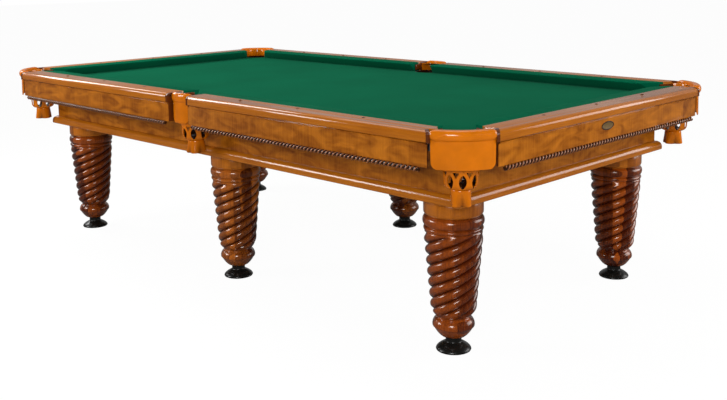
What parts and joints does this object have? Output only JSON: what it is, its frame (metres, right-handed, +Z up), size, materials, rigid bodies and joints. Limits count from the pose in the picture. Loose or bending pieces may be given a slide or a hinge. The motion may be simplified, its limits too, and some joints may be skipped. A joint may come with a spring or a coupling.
{
  "type": "billiard table",
  "caption": "Billiard table with slate bed, cushioned rails, leather drop pockets, spiral-turned legs and screw-adjusted levelling feet.",
  "frame": {"origin": "on the floor under the middle of the table", "axes": "+X along the table, +Y across it to the far side, +Z up"},
  "size_m": [2.8544, 1.5844, 0.795],
  "materials": {
    "honey_walnut": "clear lacquer over veneer",
    "dark_walnut": "dark stain, gloss lacquer",
    "frame_timber": "planed, bare",
    "slate": "honed",
    "bed_cloth": "napless woven wool",
    "cushion": "rubber under woven wool",
    "bronzed_iron": "bronzed, lacquered",
    "tan_leather": "smooth, waxed",
    "plate_brass": "satin",
    "black_foot": "gloss black",
    "stud_steel": "zinc plated"
  },
  "bodies": {
    "table": {"leg_front_left": "dark_walnut", "leg_front_middle": "dark_walnut", "leg_front_right": "dark_walnut", "leg_back_left": "dark_walnut", "leg_back_middle": "dark_walnut", "leg_back_right": "dark_walnut", "rail_front_left": "honey_walnut", "rail_front_right": "honey_walnut", "rail_back_left": "honey_walnut", "rail_back_right": "honey_walnut", "rail_end_left": "honey_walnut", "rail_end_right": "honey_walnut", "apron_front": "honey_walnut", "apron_back": "honey_walnut", "apron_left": "honey_walnut", "apron_right": "honey_walnut", "rope_front_left": "dark_walnut", "rope_front_right": "dark_walnut", "rope_back_left": "dark_walnut", "rope_back_right": "dark_walnut", "rope_end_left": "dark_walnut", "rope_end_right": "dark_walnut", "cross_beam_left": "frame_timber", "cross_beam_middle": "frame_timber", "cross_beam_right": "frame_timber", "slate_left": "slate", "slate_middle": "slate", "slate_right": "slate", "bed_cloth": "bed_cloth", "cushion_front_left": "cushion", "cushion_front_right": "cushion", "cushion_back_left": "cushion", "cushion_back_right": "cushion", "cushion_end_left": "cushion", "cushion_end_right": "cushion", "pocket_iron_front_left": "bronzed_iron", "pocket_iron_front_middle": "bronzed_iron", "pocket_iron_front_right": "bronzed_iron", "pocket_iron_back_left": "bronzed_iron", "pocket_iron_back_middle": "bronzed_iron", "pocket_iron_back_right": "bronzed_iron", "pocket_leather_front_left": "tan_leather", "pocket_leather_front_middle": "tan_leather", "pocket_leather_front_right": "tan_leather", "pocket_leather_back_left": "tan_leather", "pocket_leather_back_middle": "tan_leather", "pocket_leather_back_right": "tan_leather", "oval_plate": "plate_brass"},
    "foot_front_left": {"foot_pad_front_left": "black_foot"},
    "stud_front_left": {"foot_stud_front_left": "stud_steel"},
    "foot_front_middle": {"foot_pad_front_middle": "black_foot"},
    "stud_front_middle": {"foot_stud_front_middle": "stud_steel"},
    "foot_front_right": {"foot_pad_front_right": "black_foot"},
    "stud_front_right": {"foot_stud_front_right": "stud_steel"},
    "foot_back_left": {"foot_pad_back_left": "black_foot"},
    "stud_back_left": {"foot_stud_back_left": "stud_steel"},
    "foot_back_middle": {"foot_pad_back_middle": "black_foot"},
    "stud_back_middle": {"foot_stud_back_middle": "stud_steel"},
    "foot_back_right": {"foot_pad_back_right": "black_foot"},
    "stud_back_right": {"foot_stud_back_right": "stud_steel"}
  },
  "joints": [
    {"name": "foot_slide_front_left", "type": "slide", "parent": "table", "child": "foot_front_left", "axis": [0, 0, -1], "range_m": [0, 0.015]},
    {"name": "stud_turn_front_left", "type": "hinge", "parent": "foot_front_left", "child": "stud_front_left", "pos_m": [-1.15, -0.515, 0.041], "axis": [0, 0, -1], "range_deg": [0, 3086]},
    {"name": "foot_slide_front_middle", "type": "slide", "parent": "table", "child": "foot_front_middle", "axis": [0, 0, -1], "range_m": [0, 0.015]},
    {"name": "stud_turn_front_middle", "type": "hinge", "parent": "foot_front_middle", "child": "stud_front_middle", "pos_m": [0, -0.515, 0.041], "axis": [0, 0, -1], "range_deg": [0, 3086]},
    {"name": "foot_slide_front_right", "type": "slide", "parent": "table", "child": "foot_front_right", "axis": [0, 0, -1], "range_m": [0, 0.015]},
    {"name": "stud_turn_front_right", "type": "hinge", "parent": "foot_front_right", "child": "stud_front_right", "pos_m": [1.15, -0.515, 0.041], "axis": [0, 0, -1], "range_deg": [0, 3086]},
    {"name": "foot_slide_back_left", "type": "slide", "parent": "table", "child": "foot_back_left", "axis": [0, 0, -1], "range_m": [0, 0.015]},
    {"name": "stud_turn_back_left", "type": "hinge", "parent": "foot_back_left", "child": "stud_back_left", "pos_m": [-1.15, 0.515, 0.041], "axis": [0, 0, -1], "range_deg": [0, 3086]},
    {"name": "foot_slide_back_middle", "type": "slide", "parent": "table", "child": "foot_back_middle", "axis": [0, 0, -1], "range_m": [0, 0.015]},
    {"name": "stud_turn_back_middle", "type": "hinge", "parent": "foot_back_middle", "child": "stud_back_middle", "pos_m": [0, 0.515, 0.041], "axis": [0, 0, -1], "range_deg": [0, 3086]},
    {"name": "foot_slide_back_right", "type": "slide", "parent": "table", "child": "foot_back_right", "axis": [0, 0, -1], "range_m": [0, 0.015]},
    {"name": "stud_turn_back_right", "type": "hinge", "parent": "foot_back_right", "child": "stud_back_right", "pos_m": [1.15, 0.515, 0.041], "axis": [0, 0, -1], "range_deg": [0, 3086]}
  ],
  "couplings": [
    {"joint": "stud_turn_front_left", "follows": "foot_slide_front_left", "rad_per_m": 3590.4},
    {"joint": "stud_turn_front_middle", "follows": "foot_slide_front_middle", "rad_per_m": 3590.4},
    {"joint": "stud_turn_front_right", "follows": "foot_slide_front_right", "rad_per_m": 3590.4},
    {"joint": "stud_turn_back_left", "follows": "foot_slide_back_left", "rad_per_m": 3590.4},
    {"joint": "stud_turn_back_middle", "follows": "foot_slide_back_middle", "rad_per_m": 3590.4},
    {"joint": "stud_turn_back_right", "follows": "foot_slide_back_right", "rad_per_m": 3590.4}
  ]
}
